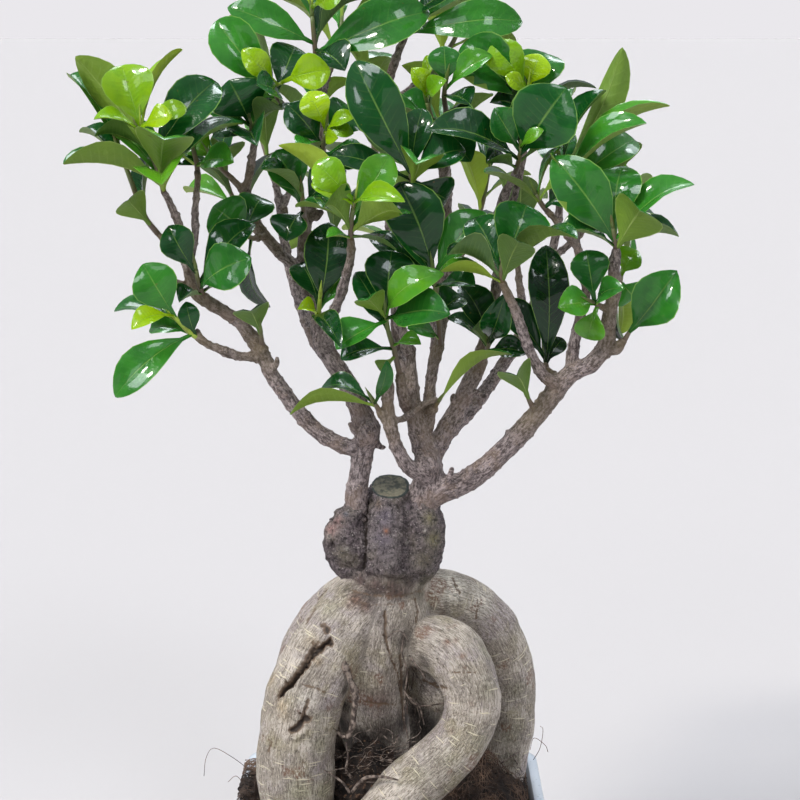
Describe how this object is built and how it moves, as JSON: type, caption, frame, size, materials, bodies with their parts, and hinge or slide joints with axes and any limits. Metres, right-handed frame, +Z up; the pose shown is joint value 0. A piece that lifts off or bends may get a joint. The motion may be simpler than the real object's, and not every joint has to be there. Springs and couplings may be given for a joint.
{
  "type": "bonsai tree in a pot",
  "caption": "Bonsai fig with glossy leaves on grafted limbs, a thick sawn stock and swollen pale roots that arch into soil in a square glazed pot.",
  "frame": {"origin": "middle of the pot's flat foot, on the surface it stands on", "axes": "+Z up, the tree's front towards -Y, +X to the right as seen from the front"},
  "size_m": [0.2934, 0.2228, 0.5223],
  "materials": {
    "glaze": "gloss",
    "soil": "matte",
    "root_bark": "satin",
    "limb_bark": "matte",
    "leaf": "gloss",
    "young_leaf": "gloss"
  },
  "bodies": {
    "root": {"pot": "glaze", "rootstock": "root_bark", "scion_left": "limb_bark", "scion_right": "limb_bark", "soil": "soil", "left_top": "leaf", "left_top_young": "young_leaf", "left_side": "leaf", "left_middle": "leaf", "left_low": "leaf", "left_inner": "leaf", "left_spur": "leaf", "inner_side": "leaf", "inner_top": "leaf", "inner_fork": "leaf", "upper_left": "leaf", "upper_left_young": "young_leaf", "top_left": "leaf", "top_left_young": "young_leaf", "front_upper": "leaf", "front_upper_young": "young_leaf", "front": "leaf", "front_young": "young_leaf", "inner_dark": "leaf", "stub_shoot": "leaf", "center_low": "leaf", "center_foot": "leaf", "long_leaf": "leaf", "center_front": "leaf", "center_upper": "leaf", "mid_leader": "leaf", "mid_leader_young": "young_leaf", "mid_side": "leaf", "top_right": "leaf", "upper_right": "leaf", "upper_right_young": "young_leaf", "right_front": "leaf", "right_upper": "leaf", "right_end": "leaf", "right_inner": "leaf", "right_fork": "leaf", "right_spur": "leaf", "right_lone": "leaf", "right_behind": "leaf", "right_under": "leaf", "right_mid": "leaf", "heavy_spur": "leaf", "rear_left_top": "leaf", "rear_left_side": "leaf", "rear_left_inner": "leaf", "rear_left_low": "leaf", "rear_crown": "leaf", "rear_center": "leaf", "rear_center_low": "leaf", "rear_center_side": "leaf", "rear_leader": "leaf", "rear_top": "leaf", "rear_right_top": "leaf", "rear_right_side": "leaf", "rear_right_low": "leaf"}
  },
  "joints": []
}
